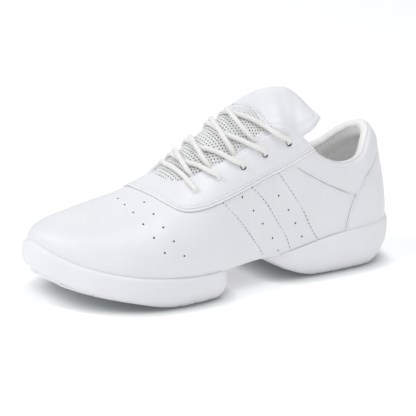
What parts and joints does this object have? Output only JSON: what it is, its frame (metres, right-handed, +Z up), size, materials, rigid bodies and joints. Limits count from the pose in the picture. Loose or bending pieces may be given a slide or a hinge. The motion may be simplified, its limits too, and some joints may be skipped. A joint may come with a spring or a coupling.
{
  "type": "split-sole cheer shoe",
  "caption": "White leather split-sole cheer sneaker, left foot: flexes at arch and ball, padded collar, mesh tongue with fold-over top, cord lacing.",
  "frame": {"origin": "centre of the heel unit's level ground contact, on the ground", "axes": "+X to the toe, +Y to the wearer's left (the outer side of this left shoe), +Z up"},
  "size_m": [0.2604, 0.0943, 0.1179],
  "materials": {
    "sole_foam": "moulded white EVA foam, satin skin",
    "tread_rubber": "moulded white rubber, fine matte texture",
    "upper_leather": "smooth white leather, fine grain, soft sheen",
    "trim_leather": "smooth white leather overlay with stitched edge",
    "cord_trim": "white rolled leather cord",
    "lining_textile": "knitted lining fabric, warm grey-white",
    "foam": "open-cell padding foam",
    "mesh": "white spacer mesh with small round openings",
    "lace_cord": "round woven cord, warm white",
    "board": "fibre insole board",
    "stiffener": "thermoformed stiffener sheet",
    "sockliner_textile": "light grey cloth over foam"
  },
  "bodies": {
    "root": {"arch_gusset": "upper_leather", "arch_insole_board": "board", "eyestay": "trim_leather", "eyestay_cord": "cord_trim", "forefoot_insole_board": "board", "forefoot_midsole": "sole_foam", "forefoot_outsole": "tread_rubber", "front_stripe_lateral": "upper_leather", "front_stripe_medial": "upper_leather", "lace": "lace_cord", "rear_stripe_lateral": "upper_leather", "rear_stripe_medial": "upper_leather", "sockliner": "sockliner_textile", "tongue_foam": "foam", "tongue_lining": "lining_textile", "tongue_mesh": "mesh", "vamp": "upper_leather", "vamp_lining": "lining_textile"},
    "toe": {"toe_midsole": "sole_foam", "toe_outsole": "tread_rubber", "toe_insole_board": "board", "toe_puff": "stiffener"},
    "heel": {"collar_foam_lateral": "foam", "collar_foam_medial": "foam", "collar_lining_lateral": "lining_textile", "collar_lining_medial": "lining_textile", "collar_panel_lateral": "upper_leather", "collar_panel_medial": "upper_leather", "heel_counter": "stiffener", "heel_insole_board": "board", "heel_lining": "lining_textile", "heel_midsole": "sole_foam", "heel_outsole": "tread_rubber", "heel_panel": "upper_leather", "rear_quarter_lateral": "upper_leather", "rear_quarter_medial": "upper_leather"},
    "tongue_flap": {"tongue_flap_foam": "foam", "tongue_flap_leather": "upper_leather", "tongue_flap_lining": "lining_textile"}
  },
  "joints": [
    {"name": "toe_flex", "type": "hinge", "parent": "root", "child": "toe", "pos_m": [0.156, 0, 0.023], "axis": [0, -1, 0], "range_deg": [0, 30], "deforming": ["vamp", "vamp_lining", "sockliner"]},
    {"name": "arch_flex", "type": "hinge", "parent": "root", "child": "heel", "pos_m": [0.05, 0, 0.06], "axis": [0, -1, 0], "range_deg": [0, 20], "deforming": ["front_stripe_lateral", "front_stripe_medial", "rear_quarter_lateral", "rear_quarter_medial", "rear_stripe_lateral", "rear_stripe_medial", "vamp", "arch_gusset", "arch_insole_board", "sockliner"]},
    {"name": "tongue_fold", "type": "hinge", "parent": "root", "child": "tongue_flap", "pos_m": [0.054, 0, 0.1075], "axis": [0, 1, 0], "range_deg": [0, 35]}
  ]
}
